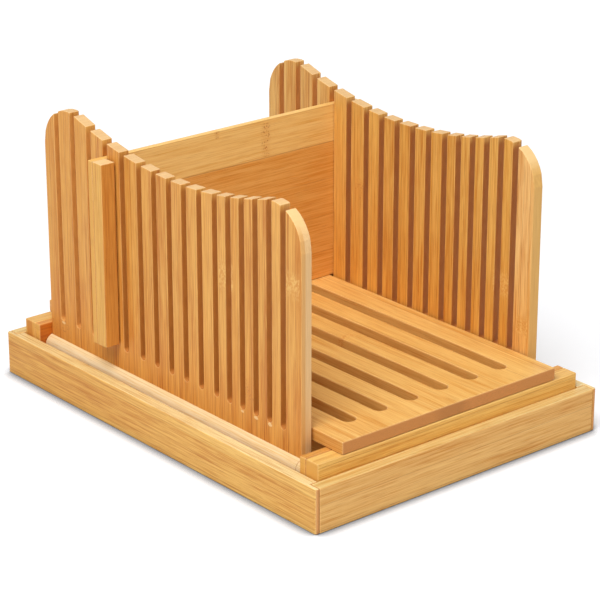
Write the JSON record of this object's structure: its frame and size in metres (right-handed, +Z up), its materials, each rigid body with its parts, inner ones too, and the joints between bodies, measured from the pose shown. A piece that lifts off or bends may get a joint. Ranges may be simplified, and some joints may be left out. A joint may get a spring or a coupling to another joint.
{
  "type": "bread slicing guide",
  "caption": "Bamboo bread slicing guide: hinged slotted side walls and a movable stop over a loose slotted board, all standing in a crumb tray.",
  "frame": {"origin": "centre of the tray's underside, on the table", "axes": "+Z up; +Y along the loaf, from the open end where slices fall to the end behind the stop; +X across the loaf"},
  "size_m": [0.24, 0.33, 0.1965],
  "materials": {
    "honey_bamboo": "oiled bamboo, satin",
    "pale_bamboo": "oiled bamboo, satin, paler",
    "amber_bamboo": "oiled bamboo, satin, darker",
    "steel": "plain steel"
  },
  "bodies": {
    "tray": {"tray_front": "honey_bamboo", "tray_rear": "honey_bamboo", "tray_left_side": "honey_bamboo", "tray_right_side": "honey_bamboo", "tray_floor": "pale_bamboo"},
    "base_frame": {"front_bar": "honey_bamboo", "rear_bar": "honey_bamboo", "front_pivot_strip": "amber_bamboo", "rear_pivot_strip": "amber_bamboo", "left_rail": "honey_bamboo", "right_rail": "honey_bamboo", "rail_screw_front_left": "steel", "rail_screw_front_right": "steel", "rail_screw_rear_left": "steel", "rail_screw_rear_right": "steel", "board_peg_front_left": "pale_bamboo", "board_peg_front_right": "pale_bamboo", "board_peg_rear_left": "pale_bamboo", "board_peg_rear_right": "pale_bamboo"},
    "board": {"slotted_board": "pale_bamboo"},
    "stop": {"stop_plate": "honey_bamboo", "left_stop_batten": "pale_bamboo", "right_stop_batten": "pale_bamboo"},
    "left_wall": {"left_comb_wall": "honey_bamboo", "left_foot_barrel": "pale_bamboo", "left_hinge_pin_front": "amber_bamboo", "left_hinge_pin_rear": "amber_bamboo"},
    "right_wall": {"right_comb_wall": "honey_bamboo", "right_foot_barrel": "pale_bamboo", "right_hinge_pin_front": "amber_bamboo", "right_hinge_pin_rear": "amber_bamboo"}
  },
  "joints": [
    {"name": "frame_lift", "type": "slide", "parent": "tray", "child": "base_frame", "axis": [0, 0, 1], "range_m": [0, 0.06]},
    {"name": "board_lift", "type": "slide", "parent": "base_frame", "child": "board", "axis": [0, 0, 1], "range_m": [0, 0.165]},
    {"name": "stop_lift", "type": "slide", "parent": "board", "child": "stop", "axis": [0, 0, 1], "range_m": [0, 0.145]},
    {"name": "left_wall_tilt", "type": "hinge", "parent": "base_frame", "child": "left_wall", "pos_m": [-0.0992, 0, 0.0251], "axis": [0, 1, 0], "range_deg": [0, 4]},
    {"name": "right_wall_tilt", "type": "hinge", "parent": "base_frame", "child": "right_wall", "pos_m": [0.0992, 0, 0.0334], "axis": [0, -1, 0], "range_deg": [0, 6]}
  ]
}
